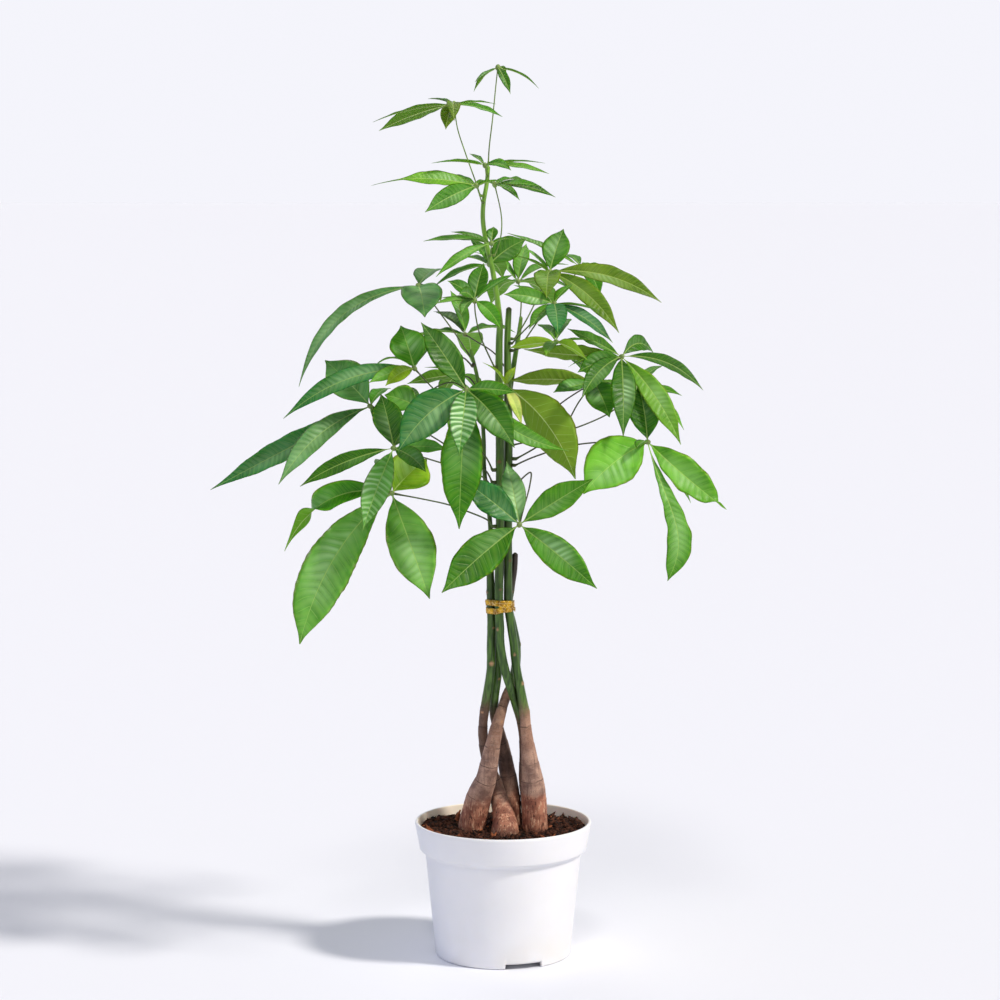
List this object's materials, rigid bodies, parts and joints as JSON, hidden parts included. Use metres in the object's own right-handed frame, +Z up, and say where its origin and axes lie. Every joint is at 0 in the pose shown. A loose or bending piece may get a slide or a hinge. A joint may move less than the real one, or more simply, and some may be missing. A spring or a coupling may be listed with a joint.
{
  "type": "potted money tree",
  "caption": "Potted money tree: stems braided above a plastic nursery pot, tied with tape, with open hand-shaped leaves of long pointed leaflets on slim stalks.",
  "frame": {"origin": "centre of the flat middle of the pot's underside, which stands on the surface", "axes": "+Z up along the pot's axis towards the top of the plant; the front of the plant looks along -Y, and +X is to its right as seen from the front"},
  "size_m": [0.4844, 0.322, 0.8514],
  "materials": {
    "pot_plastic": "off-white polypropylene with a soft satin sheen",
    "potting_soil": "dark brown coir and bark potting soil, rough and matt",
    "stem_wood": "brown bark low down, green skin above",
    "tie_tape": "gold metallised tape",
    "leaf": "glossy mid-green blades with pale veins"
  },
  "bodies": {
    "root": {"pot": "pot_plastic", "soil": "potting_soil", "stem_left": "stem_wood", "stem_front": "stem_wood", "stem_right": "stem_wood", "stem_lead": "stem_wood", "stem_back": "stem_wood", "tie": "tie_tape", "leaf_01": "leaf", "leaf_02": "leaf", "leaf_03": "leaf", "leaf_04": "leaf", "leaf_05": "leaf", "leaf_06": "leaf", "leaf_07": "leaf", "leaf_08": "leaf", "leaf_09": "leaf", "leaf_10": "leaf", "leaf_11": "leaf", "leaf_12": "leaf", "leaf_13": "leaf", "leaf_14": "leaf", "leaf_15": "leaf", "leaf_16": "leaf", "leaf_17": "leaf", "leaf_18": "leaf", "leaf_19": "leaf", "leaf_20": "leaf", "leaf_21": "leaf", "leaf_22": "leaf", "leaf_23": "leaf", "leaf_24": "leaf", "leaf_25": "leaf", "leaf_26": "leaf", "leaf_27": "leaf", "leaf_28": "leaf", "leaf_29": "leaf"}
  },
  "joints": []
}
